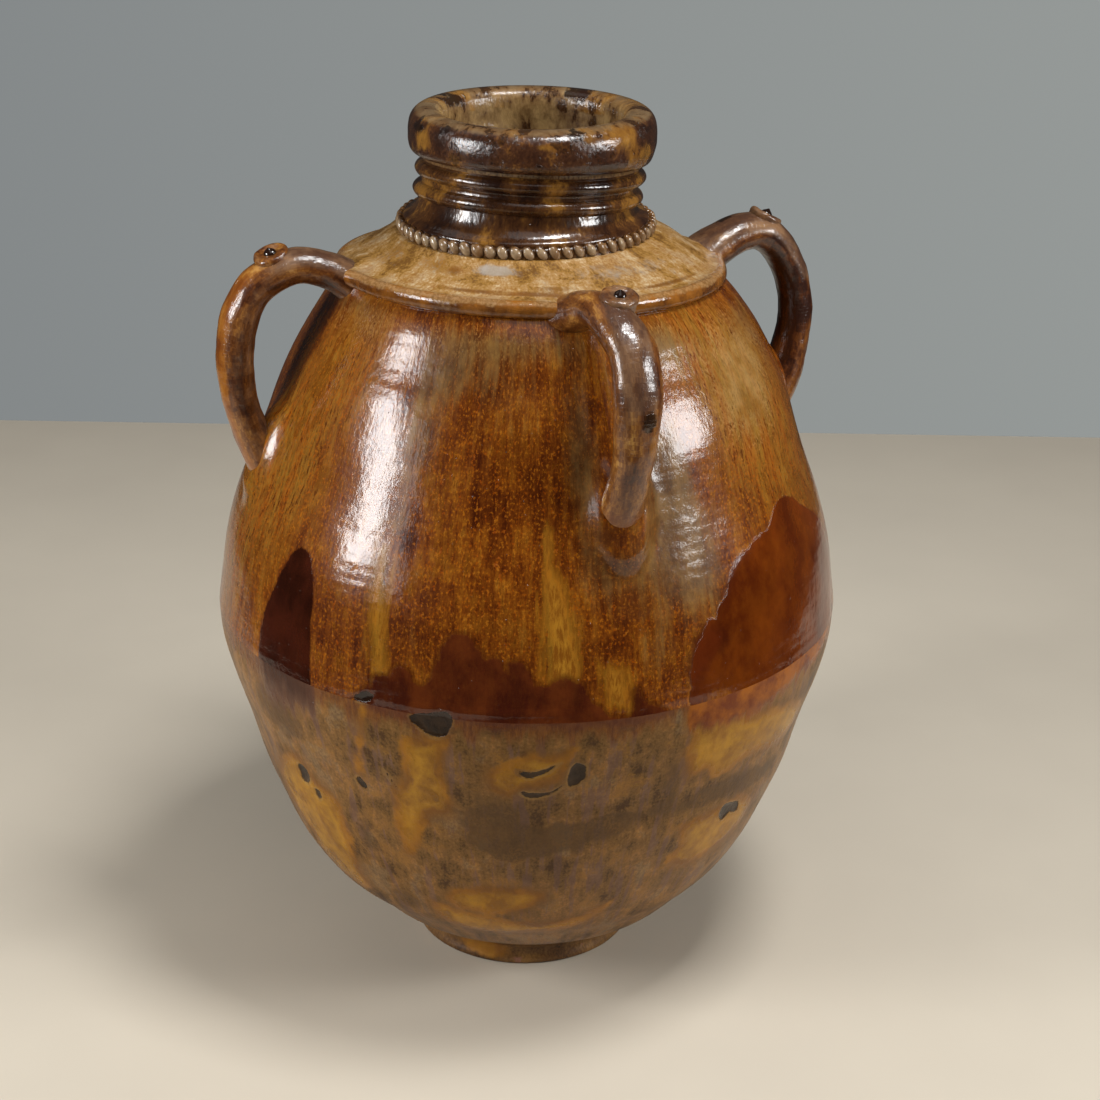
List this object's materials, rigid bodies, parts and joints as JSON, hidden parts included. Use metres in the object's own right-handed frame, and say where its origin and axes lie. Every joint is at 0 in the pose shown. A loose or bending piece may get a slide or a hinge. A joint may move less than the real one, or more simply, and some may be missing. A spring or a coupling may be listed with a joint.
{
  "type": "olive jar",
  "caption": "Large glazed earthenware storage jar on a foot ring, with a ridged shoulder, beaded collar, ringed neck, rolled lip and loop handles",
  "frame": {"origin": "centre of the circle that the foot rests on", "axes": "+Z is the jar's axis, pointing up through the mouth; -Y goes through the handle called front, +X through the handle called right"},
  "size_m": [0.545, 0.545, 0.76],
  "materials": {
    "bare_foot": "fired earthenware, mostly bare, with runs of glaze",
    "bowl_glaze": "thin semi-matt ochre and grey-brown glaze",
    "dome_glaze": "thick glossy amber and brown glaze with runs",
    "shoulder_glaze": "worn olive-tan glaze",
    "neck_glaze": "dark brown glossy glaze",
    "lip_glaze": "dark brown glossy glaze with chipped edges",
    "handle_glaze": "speckled grey-brown glaze",
    "pip_glaze": "almost black glossy glaze"
  },
  "bodies": {
    "root": {"foot_ring": "bare_foot", "base_disc": "bowl_glaze", "lower_body": "bowl_glaze", "upper_body": "dome_glaze", "shoulder": "shoulder_glaze", "neck": "neck_glaze", "lip": "lip_glaze", "bead_band": "shoulder_glaze", "handle_right": "handle_glaze", "button_right": "handle_glaze", "pip_right": "pip_glaze", "handle_back": "handle_glaze", "button_back": "handle_glaze", "pip_back": "pip_glaze", "handle_left": "handle_glaze", "button_left": "handle_glaze", "pip_left": "pip_glaze", "handle_front": "handle_glaze", "button_front": "handle_glaze", "pip_front": "pip_glaze"}
  },
  "joints": []
}
